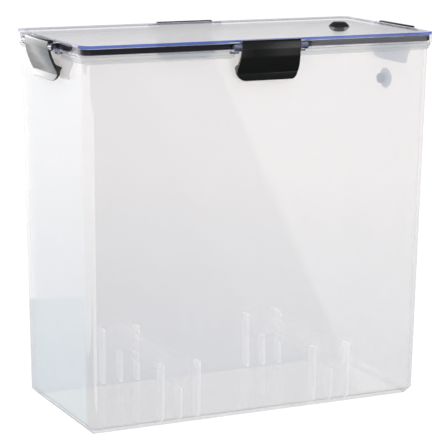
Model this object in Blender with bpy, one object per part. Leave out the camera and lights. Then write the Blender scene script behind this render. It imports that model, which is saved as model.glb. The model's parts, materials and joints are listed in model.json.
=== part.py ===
"""Airtight dry box for filament spools, in metres, +Z up.

The origin is the centre of the base, on the surface that the box stands on.
X runs along the long side, and the front is at -Y.

Two measures are used throughout:
  inset     how far a face lies inside the lid's outer edge, seen from above
  outboard  how far a point lies outside the lid's outer edge
"""
import math

import bmesh
import bpy
from mathutils import Matrix, Vector

MM = 0.001
GAP = 0.3 * MM                      # running gap between neighbouring pieces

# ---- lid ----
LID_WIDTH = 293.0 * MM
LID_DEPTH = 140.4 * MM
LID_TOP = 290.0 * MM
LID_CORNER = 9.0 * MM
SKIRT_BOTTOM = 281.8 * MM
SKIRT_THICKNESS = 1.6 * MM
LID_UNDERSIDE = 287.3 * MM
BORDER_WIDTH = 3.5 * MM             # raised border round the sunk panel
PANEL_TOP = 289.2 * MM
LIP_OUTER_INSET = 6.0 * MM          # inner lip, which goes down inside the tub
LIP_INNER_INSET = 7.4 * MM
LIP_OUTER_CORNER = 6.0 * MM
LIP_INNER_CORNER = 4.6 * MM
LIP_BOTTOM = 281.0 * MM
EDGE_ROUNDING = 0.7 * MM

# ---- tub ----
WALL = 2.0 * MM
FLOOR = 2.5 * MM
WALL_INSET = 2.9 * MM               # at the reference height
REFERENCE_HEIGHT = 280.0 * MM
DRAFT = 3.8 * MM                    # how much further in the walls are at the base
TUB_CORNER = 7.0 * MM
TUB_INNER_CORNER = 6.0 * MM
BASE_CHAMFER = 5.8 * MM             # sloping band round the bottom edge
INNER_FILLET = 5.5 * MM
STEP_BOTTOM = 276.6 * MM            # small step under the flange
STEP_INSET = 2.2 * MM
FLANGE_BOTTOM = 278.8 * MM
FLANGE_TOP = 281.4 * MM
FLANGE_INSET = 1.2 * MM
RIM_TOP = 282.6 * MM

# ---- seal ----
GASKET_OUTER_INSET = SKIRT_THICKNESS + GAP
GASKET_INNER_INSET = LIP_OUTER_INSET - GAP
GASKET_BOTTOM = RIM_TOP + GAP
GASKET_TOP = LID_UNDERSIDE - GAP

# ---- latches ----
LATCH_WIDTH = 48.1 * MM
LATCH_FLARE = 1.4 * MM              # how much wider each side of the grip is
FLARE_TOP = 281.0 * MM
FLARE_BOTTOM = 269.5 * MM
LATCH_CORNER = 7.5 * MM
LATCH_AXIS_OUTBOARD = 5.2 * MM
LATCH_AXIS_HEIGHT = 285.4 * MM
KNUCKLE_RADIUS = 2.9 * MM
KNUCKLE_WIDTH = 40.0 * MM
PIN_RADIUS = 1.2 * MM
PIN_HOLE_RADIUS = PIN_RADIUS + GAP
LUG_WIDTH = 6.6 * MM
LUG_RADIUS = 3.3 * MM
LUG_BOTTOM = 280.3 * MM
NOTCH_WIDTH = 51.0 * MM             # gap in the tub's flange behind each latch
NOTCH_INSET = 2.7 * MM
KEEPER_WIDTH = 42.0 * MM            # rib on the wall that the hook snaps under
KEEPER_INSET = 2.35 * MM
KEEPER_BOTTOM = 272.3 * MM
KEEPER_TOP = 274.3 * MM

# ---- plugs ----
PLUG_HEAD_RADIUS = 8.2 * MM
PLUG_TOP_RADIUS = 4.3 * MM
PLUG_HEAD_HEIGHT = 3.7 * MM
PLUG_STEM_RADIUS = 4.0 * MM
PLUG_HOLE_RADIUS = PLUG_STEM_RADIUS + GAP
PLUG_STEM_LENGTH = 6.0 * MM
LID_PLUG_X = 100.0 * MM
SIDE_PLUG_HEIGHT = 246.4 * MM

# ---- rollers and their sockets ----
ROLLER_X = 64.5 * MM
RIB_THICKNESS = 2.5 * MM
RIB_PITCH = 29.8 * MM               # between the two tall ribs of a socket
RIB_DEPTH = 9.0 * MM
TALL_RIB_TOP = 47.5 * MM
SHORT_RIB_TOP = 28.5 * MM
BUSH_RADIUS = 12.0 * MM
ROLLER_HEIGHT = SHORT_RIB_TOP + GAP + BUSH_RADIUS
ROLLER_RADIUS = 11.0 * MM
ROLLER_WAIST_RADIUS = 9.0 * MM
ROLLER_TREAD = 10.0 * MM
ROLLER_CHAMFER = 1.0 * MM
AXLE_RADIUS = 4.0 * MM
AXLE_BORE = AXLE_RADIUS + GAP

CORNER_STEPS = 6
ROUND_STEPS = 32

# The four sides: name, turn about Z that brings the front (-Y) round to it, half size of the lid there.
SIDES = (
    ("front", 0.0, LID_DEPTH / 2),
    ("right", math.pi / 2, LID_WIDTH / 2),
    ("back", math.pi, LID_DEPTH / 2),
    ("left", -math.pi / 2, LID_WIDTH / 2),
)


# ---------------------------------------------------------------- helpers

def clear_scene():
    for obj in list(bpy.data.objects):
        bpy.data.objects.remove(obj, do_unlink=True)


def material(name, color, roughness, metallic=0.0, alpha=1.0):
    mat = bpy.data.materials.new(name)
    mat.use_nodes = True
    shader = mat.node_tree.nodes["Principled BSDF"]
    shader.inputs["Base Color"].default_value = (*color, 1.0)
    shader.inputs["Roughness"].default_value = roughness
    shader.inputs["Metallic"].default_value = metallic
    shader.inputs["Alpha"].default_value = alpha
    return mat


def add_object(name, bm, mat=None):
    """Turn a bmesh into a named object with its faces pointing out."""
    bmesh.ops.recalc_face_normals(bm, faces=bm.faces)
    mesh = bpy.data.meshes.new(name)
    bm.to_mesh(mesh)
    bm.free()
    obj = bpy.data.objects.new(name, mesh)
    bpy.context.scene.collection.objects.link(obj)
    if mat:
        mesh.materials.append(mat)
    return obj


def shade(obj, angle=35.0):
    obj.data.shade_smooth()
    obj.data.set_sharp_from_angle(angle=math.radians(angle))


def rounded_rectangle(half_x, half_y, radius, z):
    """Corner arcs of a rectangle, counter-clockwise seen from above."""
    points = []
    corners = ((1, 1, 0), (-1, 1, 90), (-1, -1, 180), (1, -1, 270))
    for sign_x, sign_y, start in corners:
        centre_x = sign_x * (half_x - radius)
        centre_y = sign_y * (half_y - radius)
        for step in range(CORNER_STEPS + 1):
            angle = math.radians(start + 90 * step / CORNER_STEPS)
            x = centre_x + radius * math.cos(angle)
            y = centre_y + radius * math.sin(angle)
            points.append(Vector((x, y, z)))
    return points


def lid_loop(inset, z, radius):
    """A rounded rectangle at an inset from the lid's outer edge."""
    return rounded_rectangle(LID_WIDTH / 2 - inset, LID_DEPTH / 2 - inset, radius, z)


def loft(bm, loops, closed=False):
    """Skin a stack of loops; the ends are capped, or joined to each other when closed."""
    rings = [[bm.verts.new(point) for point in loop] for loop in loops]
    pairs = list(zip(rings, rings[1:]))
    if closed:
        pairs.append((rings[-1], rings[0]))
    else:
        bm.faces.new(list(reversed(rings[0])))
        bm.faces.new(rings[-1])
    for lower, upper in pairs:
        count = len(lower)
        for i in range(count):
            j = (i + 1) % count
            bm.faces.new((lower[i], lower[j], upper[j], upper[i]))


def turned(bm, profile, steps=ROUND_STEPS, closed=False):
    """Turn a profile of (radius, height) about Z."""
    loops = []
    for radius, height in profile:
        angles = [2 * math.pi * k / steps for k in range(steps)]
        loops.append([Vector((radius * math.cos(a), radius * math.sin(a), height)) for a in angles])
    loft(bm, loops, closed)


def extruded(bm, outline, low, high):
    """Extrude an outline of (y, z) points along X, from low to high."""
    loft(bm, [[Vector((x, y, z)) for y, z in outline] for x in (low, high)])


def arc(centre, radius, start, end, steps):
    """Points of an arc in degrees, both ends included."""
    points = []
    for step in range(steps + 1):
        angle = math.radians(start + (end - start) * step / steps)
        points.append((centre[0] + radius * math.cos(angle), centre[1] + radius * math.sin(angle)))
    return points


def combine(target, tool_bm, operation):
    """Apply a Boolean to an object's own mesh."""
    tool = add_object("tool", tool_bm)
    modifier = target.modifiers.new("combine", "BOOLEAN")
    modifier.operation = operation
    modifier.solver = "EXACT"
    modifier.object = tool
    bpy.context.view_layer.update()
    evaluated = target.evaluated_get(bpy.context.evaluated_depsgraph_get())
    mesh = bpy.data.meshes.new_from_object(evaluated)
    target.modifiers.remove(modifier)
    target.data = mesh
    bpy.data.objects.remove(tool, do_unlink=True)


def side_matrix(turn, half_size):
    """From a side's own frame to the world: X along the lid's edge, -Y outboard, origin on the edge."""
    return Matrix.Rotation(turn, 4, "Z") @ Matrix.Translation((0, -half_size, 0))


# ---------------------------------------------------------------- tub

def wall_inset(z):
    """Inset of the drafted wall's outer face at a height."""
    return WALL_INSET + DRAFT * (REFERENCE_HEIGHT - z) / REFERENCE_HEIGHT


def make_tub(mat):
    loops = [
        lid_loop(wall_inset(0) + BASE_CHAMFER, 0, TUB_CORNER - BASE_CHAMFER),
        lid_loop(wall_inset(BASE_CHAMFER), BASE_CHAMFER, TUB_CORNER),
    ]
    loops.append(lid_loop(wall_inset(STEP_BOTTOM), STEP_BOTTOM, TUB_CORNER))
    loops.append(lid_loop(STEP_INSET, STEP_BOTTOM + 0.4 * MM, TUB_CORNER))
    loops.append(lid_loop(STEP_INSET, FLANGE_BOTTOM, TUB_CORNER))
    loops.append(lid_loop(FLANGE_INSET, FLANGE_BOTTOM + 0.3 * MM, TUB_CORNER))
    loops.append(lid_loop(FLANGE_INSET, FLANGE_TOP, TUB_CORNER))
    loops.append(lid_loop(wall_inset(FLANGE_TOP), FLANGE_TOP, TUB_CORNER))
    loops.append(lid_loop(wall_inset(RIM_TOP), RIM_TOP, TUB_CORNER))
    loops.append(lid_loop(wall_inset(RIM_TOP) + WALL, RIM_TOP, TUB_INNER_CORNER))
    inner_steps = 4
    for step in range(inner_steps + 1):
        angle = math.pi / 2 * (1 - step / inner_steps)
        z = FLOOR + INNER_FILLET * (1 - math.cos(angle))
        pulled_in = INNER_FILLET * (1 - math.sin(angle))
        loops.append(lid_loop(wall_inset(z) + WALL + pulled_in, z, TUB_INNER_CORNER - pulled_in))
    bm = bmesh.new()
    loft(bm, loops)
    tub = add_object("container_body", bm, mat)

    combine(tub, socket_ribs(), "UNION")
    combine(tub, flange_notches(), "DIFFERENCE")
    combine(tub, keepers(), "UNION")
    combine(tub, side_plug_cutter(), "DIFFERENCE")
    shade(tub)
    return tub


def inner_wall_y(z):
    """Half distance between the front and back walls' inner faces."""
    return LID_DEPTH / 2 - wall_inset(z) - WALL


def socket_ribs():
    """Tall, short and tall upright rib in each of the four sockets, on the front and back walls."""
    bm = bmesh.new()
    inner_face = inner_wall_y(ROLLER_HEIGHT) - RIB_DEPTH
    in_wall = inner_wall_y(ROLLER_HEIGHT) + WALL / 2
    in_floor = FLOOR - 1.0 * MM
    rounding = 2.0 * MM
    for along, top in ((-RIB_PITCH / 2, TALL_RIB_TOP), (0, SHORT_RIB_TOP), (RIB_PITCH / 2, TALL_RIB_TOP)):
        outline = [(inner_face, in_floor), (in_wall - 4.4 * MM, in_floor), (in_wall - 0.3 * MM, 6.5 * MM),
                   (in_wall, top)]
        outline += arc((inner_face + rounding, top - rounding), rounding, 90, 180, 3)
        for centre in (-ROLLER_X, ROLLER_X):
            for turn in (1, -1):
                placed = [(turn * y, z) for y, z in outline]
                middle = centre + along
                extruded(bm, placed, middle - RIB_THICKNESS / 2, middle + RIB_THICKNESS / 2)
    return bm


def side_box(bm, turn, half_size, width, outboard, inset, low, high):
    """A block across the middle of one side, from an outboard distance to an inset."""
    outline = [(-outboard, low), (inset, low), (inset, high), (-outboard, high)]
    start = len(bm.verts)
    extruded(bm, outline, -width / 2, width / 2)
    bm.verts.ensure_lookup_table()
    bmesh.ops.transform(bm, matrix=side_matrix(turn, half_size), verts=bm.verts[start:])


def flange_notches():
    bm = bmesh.new()
    for _, turn, half_size in SIDES:
        low = STEP_BOTTOM - 0.6 * MM
        high = FLANGE_TOP + 0.5 * MM
        side_box(bm, turn, half_size, NOTCH_WIDTH, 5 * MM, NOTCH_INSET, low, high)
    return bm


def keepers():
    bm = bmesh.new()
    for _, turn, half_size in SIDES:
        in_wall = wall_inset(KEEPER_BOTTOM) + WALL / 2
        side_box(bm, turn, half_size, KEEPER_WIDTH, -KEEPER_INSET, in_wall, KEEPER_BOTTOM, KEEPER_TOP)
    return bm


def side_plug_cutter():
    bm = bmesh.new()
    turned(bm, [(PLUG_HOLE_RADIUS, -10 * MM), (PLUG_HOLE_RADIUS, 10 * MM)])
    face = LID_WIDTH / 2 - wall_inset(SIDE_PLUG_HEIGHT)
    place = Matrix.Translation((face, 0, SIDE_PLUG_HEIGHT)) @ Matrix.Rotation(math.pi / 2, 4, "Y")
    bmesh.ops.transform(bm, matrix=place, verts=bm.verts)
    return bm


# ---------------------------------------------------------------- lid and seal

def make_lid(mat):
    inner_skirt = LID_CORNER - SKIRT_THICKNESS
    loops = [
        lid_loop(LIP_INNER_INSET, LID_UNDERSIDE, LIP_INNER_CORNER),
        lid_loop(LIP_INNER_INSET, LIP_BOTTOM, LIP_INNER_CORNER),
        lid_loop(LIP_OUTER_INSET, LIP_BOTTOM, LIP_OUTER_CORNER),
        lid_loop(LIP_OUTER_INSET, LID_UNDERSIDE, LIP_OUTER_CORNER),
        lid_loop(SKIRT_THICKNESS, LID_UNDERSIDE, inner_skirt),
        lid_loop(SKIRT_THICKNESS, SKIRT_BOTTOM, inner_skirt),
        lid_loop(0, SKIRT_BOTTOM, LID_CORNER),
    ]
    for along, up in arc((EDGE_ROUNDING, LID_TOP - EDGE_ROUNDING), EDGE_ROUNDING, 180, 90, 2):
        loops.append(lid_loop(along, up, LID_CORNER - along))
    loops.append(lid_loop(BORDER_WIDTH, LID_TOP, LID_CORNER - BORDER_WIDTH))
    panel_edge = BORDER_WIDTH + 0.5 * MM
    loops.append(lid_loop(panel_edge, PANEL_TOP, LID_CORNER - panel_edge))
    bm = bmesh.new()
    loft(bm, loops)
    lid = add_object("lid", bm, mat)
    combine(lid, hinge_lugs(), "UNION")
    combine(lid, lid_holes(), "DIFFERENCE")
    shade(lid)
    return lid


def lug_outline():
    """Side view of a lug: (y, z), with the lid's edge at y = 0 and outboard at -y."""
    axis = (-LATCH_AXIS_OUTBOARD, LATCH_AXIS_HEIGHT)
    in_skirt = SKIRT_THICKNESS / 2
    outline = [(in_skirt, SKIRT_BOTTOM + 0.5 * MM), (-0.3 * MM, LUG_BOTTOM), (-2.6 * MM, LUG_BOTTOM)]
    outline += arc(axis, LUG_RADIUS, -60, -270, 10)
    outline += [(in_skirt, LATCH_AXIS_HEIGHT + LUG_RADIUS + 0.4 * MM)]
    return outline


def hinge_lugs():
    """A pair of clear lugs at the ends of each latch."""
    bm = bmesh.new()
    inner = LATCH_WIDTH / 2 + GAP
    for _, turn, half_size in SIDES:
        for low in (-inner - LUG_WIDTH, inner):
            start = len(bm.verts)
            extruded(bm, lug_outline(), low, low + LUG_WIDTH)
            bm.verts.ensure_lookup_table()
            bmesh.ops.transform(bm, matrix=side_matrix(turn, half_size), verts=bm.verts[start:])
    return bm


def along_x(bm, radius, low, high, steps=16):
    """A round bar along X."""
    start = len(bm.verts)
    turned(bm, [(radius, low), (radius, high)], steps)
    bm.verts.ensure_lookup_table()
    bmesh.ops.transform(bm, matrix=Matrix.Rotation(math.pi / 2, 4, "Y"), verts=bm.verts[start:])


def lid_holes():
    """The pin holes through the lugs and the plug hole in the panel."""
    bm = bmesh.new()
    reach = LATCH_WIDTH / 2 + LUG_WIDTH + 3 * MM
    for _, turn, half_size in SIDES:
        start = len(bm.verts)
        along_x(bm, PIN_HOLE_RADIUS, -reach, reach)
        bm.verts.ensure_lookup_table()
        axis = Matrix.Translation((0, -LATCH_AXIS_OUTBOARD, LATCH_AXIS_HEIGHT))
        bmesh.ops.transform(bm, matrix=side_matrix(turn, half_size) @ axis, verts=bm.verts[start:])
    start = len(bm.verts)
    turned(bm, [(PLUG_HOLE_RADIUS, LID_UNDERSIDE - 5 * MM), (PLUG_HOLE_RADIUS, LID_TOP + 5 * MM)])
    bm.verts.ensure_lookup_table()
    bmesh.ops.transform(bm, matrix=Matrix.Translation((LID_PLUG_X, 0, 0)), verts=bm.verts[start:])
    return bm


def make_gasket(mat):
    outer = LID_CORNER - GASKET_OUTER_INSET
    inner = LIP_OUTER_CORNER + GAP
    edge = 0.5 * MM
    loops = [
        lid_loop(GASKET_INNER_INSET, GASKET_BOTTOM + edge, inner),
        lid_loop(GASKET_INNER_INSET - edge, GASKET_BOTTOM, inner),
        lid_loop(GASKET_OUTER_INSET + edge, GASKET_BOTTOM, outer),
        lid_loop(GASKET_OUTER_INSET, GASKET_BOTTOM + edge, outer),
        lid_loop(GASKET_OUTER_INSET, GASKET_TOP, outer),
        lid_loop(GASKET_INNER_INSET, GASKET_TOP, inner),
    ]
    bm = bmesh.new()
    loft(bm, loops, closed=True)
    gasket = add_object("lid_gasket", bm, mat)
    shade(gasket)
    return gasket


# ---------------------------------------------------------------- latches

def latch_outline():
    """Side view of a latch: (outboard, height) points, from the top's inner end round the outside."""
    top_corner = 2.6 * MM
    face = 8.6 * MM
    top = LID_TOP + 0.2 * MM
    outline = [(4.0 * MM, top - 1.0 * MM), (4.9 * MM, top)]
    outline += arc((face - top_corner, top - top_corner), top_corner, 90, 0, 4)
    outer = [(8.5, 285.4), (8.0, 282.0), (6.9, 277.2), (5.1, 272.7), (3.2, 268.5), (2.0, 266.2),
             (1.6, 264.8), (2.0, 263.2), (3.2, 260.6), (3.4, 260.0), (2.8, 259.8)]
    inner = [(1.9, 260.6), (0.4, 262.8), (-0.3, 264.8), (-0.9, 267.8), (-2.0, 269.5), (-2.0, 270.2),
             (1.2, 271.8), (3.2, 273.2), (5.0, 277.6), (6.1, 282.2), (6.7, 286.2), (6.3, 287.2)]
    outline += [(o * MM, z * MM) for o, z in outer + inner]
    outline += [(4.0 * MM, 287.3 * MM)]
    return outline


def latch_mesh(mat):
    """One latch about its own pin axis: width along X, outboard at -Y."""
    outline = [(LATCH_AXIS_OUTBOARD - o, z - LATCH_AXIS_HEIGHT) for o, z in latch_outline()]
    half = LATCH_WIDTH / 2
    wide = half + LATCH_FLARE
    bm = bmesh.new()
    extruded(bm, outline, -wide, wide)
    latch = add_object("latch_shape", bm, mat)

    barrel = bmesh.new()
    along_x(barrel, KNUCKLE_RADIUS, -KNUCKLE_WIDTH / 2, KNUCKLE_WIDTH / 2, 20)
    combine(latch, barrel, "UNION")
    bore = bmesh.new()
    along_x(bore, PIN_HOLE_RADIUS, -wide, wide, 16)
    combine(latch, bore, "DIFFERENCE")

    stencil = bmesh.new()
    low = min(z for _, z in outline) - 0.1 * MM
    high = max(z for _, z in outline) + 5 * MM
    flare_top = FLARE_TOP - LATCH_AXIS_HEIGHT
    flare_bottom = FLARE_BOTTOM - LATCH_AXIS_HEIGHT
    front = [(half, high), (-half, high), (-half, flare_top), (-wide, flare_bottom)]
    front += arc((-wide + LATCH_CORNER, low + LATCH_CORNER), LATCH_CORNER, 180, 270, 6)
    front += arc((wide - LATCH_CORNER, low + LATCH_CORNER), LATCH_CORNER, 270, 360, 6)
    front += [(wide, flare_bottom), (half, flare_top)]
    loft(stencil, [[Vector((x, y, z)) for x, z in front] for y in (-20 * MM, 20 * MM)])
    combine(latch, stencil, "INTERSECT")
    shade(latch)
    mesh = latch.data
    bpy.data.objects.remove(latch, do_unlink=True)
    return mesh


def make_latches(latch_mat, pin_mat):
    """A latch and its pin on each side, both with their origin on the hinge axis."""
    shape = latch_mesh(latch_mat)
    bm = bmesh.new()
    reach = LATCH_WIDTH / 2 + LUG_WIDTH
    along_x(bm, PIN_RADIUS, -reach, reach)
    pin_shape = add_object("pin_shape", bm, pin_mat)
    shade(pin_shape)
    outboard_axis = Matrix.Translation((0, -LATCH_AXIS_OUTBOARD, LATCH_AXIS_HEIGHT))
    for side, turn, half_size in SIDES:
        axis = side_matrix(turn, half_size) @ outboard_axis
        for name, mesh in ((f"{side}_latch", shape), (f"{side}_latch_pin", pin_shape.data)):
            obj = bpy.data.objects.new(name, mesh)
            bpy.context.scene.collection.objects.link(obj)
            obj.location = axis.translation
            obj.rotation_euler = (0, 0, turn)
    bpy.data.objects.remove(pin_shape, do_unlink=True)


# ---------------------------------------------------------------- plugs

def plug_shape(name, mat):
    """Rubber plug with its head's underside at the origin and its stem along -Z."""
    head = GAP
    tip = 0.8 * MM
    profile = [
        (PLUG_STEM_RADIUS - tip, -PLUG_STEM_LENGTH),
        (PLUG_STEM_RADIUS, -PLUG_STEM_LENGTH + tip),
        (PLUG_STEM_RADIUS, head),
        (PLUG_HEAD_RADIUS, head),
        (PLUG_HEAD_RADIUS, head + 0.5 * MM),
        (PLUG_HEAD_RADIUS - 1.4 * MM, head + 2.0 * MM),
        (PLUG_TOP_RADIUS + 0.6 * MM, PLUG_HEAD_HEIGHT - 0.2 * MM),
        (PLUG_TOP_RADIUS - 0.4 * MM, PLUG_HEAD_HEIGHT),
    ]
    bm = bmesh.new()
    turned(bm, profile)
    plug = add_object(name, bm, mat)
    shade(plug)
    return plug


def make_plugs(mat):
    lid_plug = plug_shape("lid_plug", mat)
    lid_plug.location = (LID_PLUG_X, 0, PANEL_TOP)
    side_plug = plug_shape("side_plug", mat)
    upper_edge = LID_WIDTH / 2 - wall_inset(SIDE_PLUG_HEIGHT + PLUG_HEAD_RADIUS)
    side_plug.location = (upper_edge, 0, SIDE_PLUG_HEIGHT)
    side_plug.rotation_euler = (0, math.pi / 2, 0)


# ---------------------------------------------------------------- rollers

def lengthwise(name, profile, x, mat, closed=False):
    """A turned piece along Y at the rollers' height; the profile's heights are y places."""
    bm = bmesh.new()
    turned(bm, profile, closed=closed)
    bmesh.ops.transform(bm, matrix=Matrix.Rotation(-math.pi / 2, 4, "X"), verts=bm.verts)
    obj = add_object(name, bm, mat)
    obj.location = (x, 0, ROLLER_HEIGHT)
    shade(obj)
    return obj


def bush_profile(low, high):
    edge = 0.6 * MM
    return [(AXLE_BORE, low), (BUSH_RADIUS - edge, low), (BUSH_RADIUS, low + edge),
            (BUSH_RADIUS, high - edge), (BUSH_RADIUS - edge, high), (AXLE_BORE, high)]


def roller_profile(low, high):
    """A tread at each end, for the spool's two flanges, and a thinner waist between them."""
    chamfer = ROLLER_CHAMFER
    drop = ROLLER_RADIUS - ROLLER_WAIST_RADIUS
    return [
        (AXLE_BORE, low),
        (ROLLER_RADIUS - chamfer, low),
        (ROLLER_RADIUS, low + chamfer),
        (ROLLER_RADIUS, low + ROLLER_TREAD),
        (ROLLER_WAIST_RADIUS, low + ROLLER_TREAD + drop),
        (ROLLER_WAIST_RADIUS, high - ROLLER_TREAD - drop),
        (ROLLER_RADIUS, high - ROLLER_TREAD),
        (ROLLER_RADIUS, high - chamfer),
        (ROLLER_RADIUS - chamfer, high),
        (AXLE_BORE, high),
    ]


def make_rollers(axle_mat, roller_mat, bush_mat):
    bush_outer = inner_wall_y(SHORT_RIB_TOP) - 0.5 * MM
    bush_inner = inner_wall_y(ROLLER_HEIGHT) - RIB_DEPTH
    axle_end = bush_outer - 0.4 * MM
    roller_inner = 0.4 * MM
    roller_outer = bush_inner - 0.5 * MM
    for side, x in (("left", -ROLLER_X), ("right", ROLLER_X)):
        chamfer = 0.5 * MM
        axle = [(AXLE_RADIUS - chamfer, -axle_end), (AXLE_RADIUS, -axle_end + chamfer),
                (AXLE_RADIUS, axle_end - chamfer), (AXLE_RADIUS - chamfer, axle_end)]
        lengthwise(f"{side}_axle", axle, x, axle_mat)
        for end, sign in (("front", -1), ("back", 1)):
            low, high = sorted((sign * bush_inner, sign * bush_outer))
            lengthwise(f"{side}_{end}_bush", bush_profile(low, high), x, bush_mat, closed=True)
            low, high = sorted((sign * roller_inner, sign * roller_outer))
            lengthwise(f"{side}_{end}_roller", roller_profile(low, high), x, roller_mat, closed=True)


def main():
    clear_scene()
    frosted = material("frosted_polypropylene", (0.86, 0.87, 0.87), 0.35, alpha=0.6)
    clear = material("clear_plastic", (0.80, 0.82, 0.90), 0.08, alpha=0.4)
    seal = material("black_silicone", (0.015, 0.015, 0.018), 0.55)
    black = material("black_plastic", (0.012, 0.013, 0.013), 0.38)
    steel = material("pin_steel", (0.10, 0.10, 0.11), 0.35, metallic=1.0)
    rubber = material("black_rubber", (0.01, 0.01, 0.011), 0.5)
    white = material("white_acetal", (0.85, 0.85, 0.84), 0.4)
    natural = material("natural_nylon", (0.83, 0.83, 0.80), 0.4)
    make_tub(frosted)
    make_lid(clear)
    make_gasket(seal)
    make_latches(black, steel)
    make_plugs(rubber)
    make_rollers(natural, white, white)


main()
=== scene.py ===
"""Looks of the airtight filament dry box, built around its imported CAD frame. Metres, +Z up."""
import json
import math

import bmesh
import bpy
from mathutils import Matrix, Vector


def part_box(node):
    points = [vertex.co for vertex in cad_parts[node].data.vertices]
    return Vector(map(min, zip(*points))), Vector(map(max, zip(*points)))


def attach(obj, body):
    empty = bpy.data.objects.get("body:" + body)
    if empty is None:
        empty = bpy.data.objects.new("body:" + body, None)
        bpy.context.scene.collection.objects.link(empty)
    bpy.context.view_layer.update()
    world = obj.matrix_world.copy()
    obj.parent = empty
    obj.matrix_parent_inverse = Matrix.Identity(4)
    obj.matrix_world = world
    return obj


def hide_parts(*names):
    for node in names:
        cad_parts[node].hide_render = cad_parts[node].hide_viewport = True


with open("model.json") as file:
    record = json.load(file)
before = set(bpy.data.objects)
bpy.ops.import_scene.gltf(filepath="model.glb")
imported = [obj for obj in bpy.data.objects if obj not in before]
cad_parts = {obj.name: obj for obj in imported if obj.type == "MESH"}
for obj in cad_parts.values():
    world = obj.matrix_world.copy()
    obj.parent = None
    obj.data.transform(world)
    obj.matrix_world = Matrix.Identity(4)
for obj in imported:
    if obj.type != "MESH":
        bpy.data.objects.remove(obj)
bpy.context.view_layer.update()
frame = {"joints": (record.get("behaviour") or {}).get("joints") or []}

MM = 0.001

# ---------------------------------------------------------------- sizes, from the frame where it has them
LID_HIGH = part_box("lid")[1]
PIN_LOW, PIN_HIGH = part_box("front_latch_pin")
TUB_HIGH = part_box("container_body")[1]
GASKET_LOW, GASKET_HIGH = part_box("lid_gasket")
PIN_RADIUS = (PIN_HIGH.z - PIN_LOW.z) / 2
PIN_REACH = PIN_HIGH.x
JOINTS = {joint["name"]: joint for joint in frame["joints"]}

LID_TOP = LID_HIGH.z
LID_WIDTH = 293.0 * MM
LID_DEPTH = 140.4 * MM
LID_CORNER = 9.0 * MM
SKIRT_BOTTOM = 281.8 * MM
SKIRT_THICKNESS = 1.6 * MM
LID_UNDERSIDE = 287.3 * MM
BORDER_WIDTH = 3.5 * MM
PANEL_TOP = 289.2 * MM
LIP_OUTER_INSET = 6.0 * MM
LIP_INNER_INSET = 7.4 * MM
LIP_BOTTOM = 281.0 * MM

WALL = 2.0 * MM
FLOOR = 2.5 * MM
WALL_INSET = 2.9 * MM
REFERENCE_HEIGHT = 280.0 * MM
DRAFT = 3.8 * MM
TUB_CORNER = 7.0 * MM
TUB_INNER_CORNER = 6.0 * MM
BASE_CHAMFER = 5.8 * MM
INNER_FILLET = 5.5 * MM
STEP_BOTTOM = 276.6 * MM
STEP_INSET = 2.2 * MM
FLANGE_BOTTOM = 278.8 * MM
FLANGE_TOP = 281.4 * MM
FLANGE_INSET = 1.2 * MM
RIM_TOP = TUB_HIGH.z

LATCH_WIDTH = 48.1 * MM
LATCH_FLARE = 1.4 * MM
FLARE_TOP = 281.0 * MM
FLARE_BOTTOM = 269.5 * MM
LATCH_CORNER = 7.5 * MM
LATCH_AXIS_HEIGHT = JOINTS["front_latch_hinge"]["pos_m"][2]
LATCH_AXIS_OUTBOARD = -JOINTS["front_latch_hinge"]["pos_m"][1] - LID_DEPTH / 2
KNUCKLE_RADIUS = 2.9 * MM
KNUCKLE_WIDTH = 40.0 * MM
PIN_HOLE_RADIUS = PIN_RADIUS + 0.3 * MM
LUG_WIDTH = 6.2 * MM
LUG_RADIUS = 3.3 * MM
LUG_BOTTOM = 280.3 * MM
NOTCH_WIDTH = 51.0 * MM
NOTCH_INSET = 2.7 * MM
KEEPER_WIDTH = 42.0 * MM
KEEPER_INSET = 2.35 * MM
KEEPER_BOTTOM = 272.3 * MM
KEEPER_TOP = 274.3 * MM

ROLLER_X = JOINTS["right_front_roller_spin"]["pos_m"][0]
ROLLER_HEIGHT = JOINTS["right_front_roller_spin"]["pos_m"][2]
RIB_THICKNESS = 2.5 * MM
RIB_PITCH = 29.8 * MM
RIB_DEPTH = 9.0 * MM
TALL_RIB_TOP = 47.5 * MM
SHORT_RIB_TOP = 28.5 * MM

# Material numbers on the tub's mesh and on the lid's mesh.
TUB_WALL, TUB_RIB, TUB_FLANGE = range(3)
LID_CLEAR, LID_FRONT_EDGE, LID_LUG, LID_PALE_EDGE, LID_PANEL = range(5)

# Name, turn about Z, and how far the lid's edge is from the centre.
SIDES = (
    ("front", 0.0, LID_DEPTH / 2),
    ("right", math.pi / 2, LID_WIDTH / 2),
    ("back", math.pi, LID_DEPTH / 2),
    ("left", -math.pi / 2, LID_WIDTH / 2),
)

CORNER_STEPS = 14
ROUND_STEPS = 72
BAR_STEPS = 40


# ---------------------------------------------------------------- building blocks

def add_object(name, bm):
    """Turn a bmesh into an object with its faces pointing out."""
    bmesh.ops.recalc_face_normals(bm, faces=bm.faces)
    mesh = bpy.data.meshes.new(name)
    bm.to_mesh(mesh)
    bm.free()
    obj = bpy.data.objects.new(name, mesh)
    bpy.context.scene.collection.objects.link(obj)
    return obj


def shade(obj, angle=32.0):
    """Smooth the round stretches and keep the flat faces flat."""
    obj.data.shade_smooth()
    obj.data.set_sharp_from_angle(angle=math.radians(angle))
    modifier = obj.modifiers.new("normals", "WEIGHTED_NORMAL")
    modifier.keep_sharp = True
    modifier.weight = 100


def round_edges(obj, width, segments, angle):
    modifier = obj.modifiers.new("round_edges", "BEVEL")
    modifier.width = width
    modifier.segments = segments
    modifier.limit_method = "ANGLE"
    modifier.angle_limit = math.radians(angle)


def settle(obj):
    """Apply the modifiers to the object's mesh."""
    bpy.context.view_layer.update()
    evaluated = obj.evaluated_get(bpy.context.evaluated_depsgraph_get())
    mesh = bpy.data.meshes.new_from_object(evaluated)
    obj.modifiers.clear()
    obj.data = mesh


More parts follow.
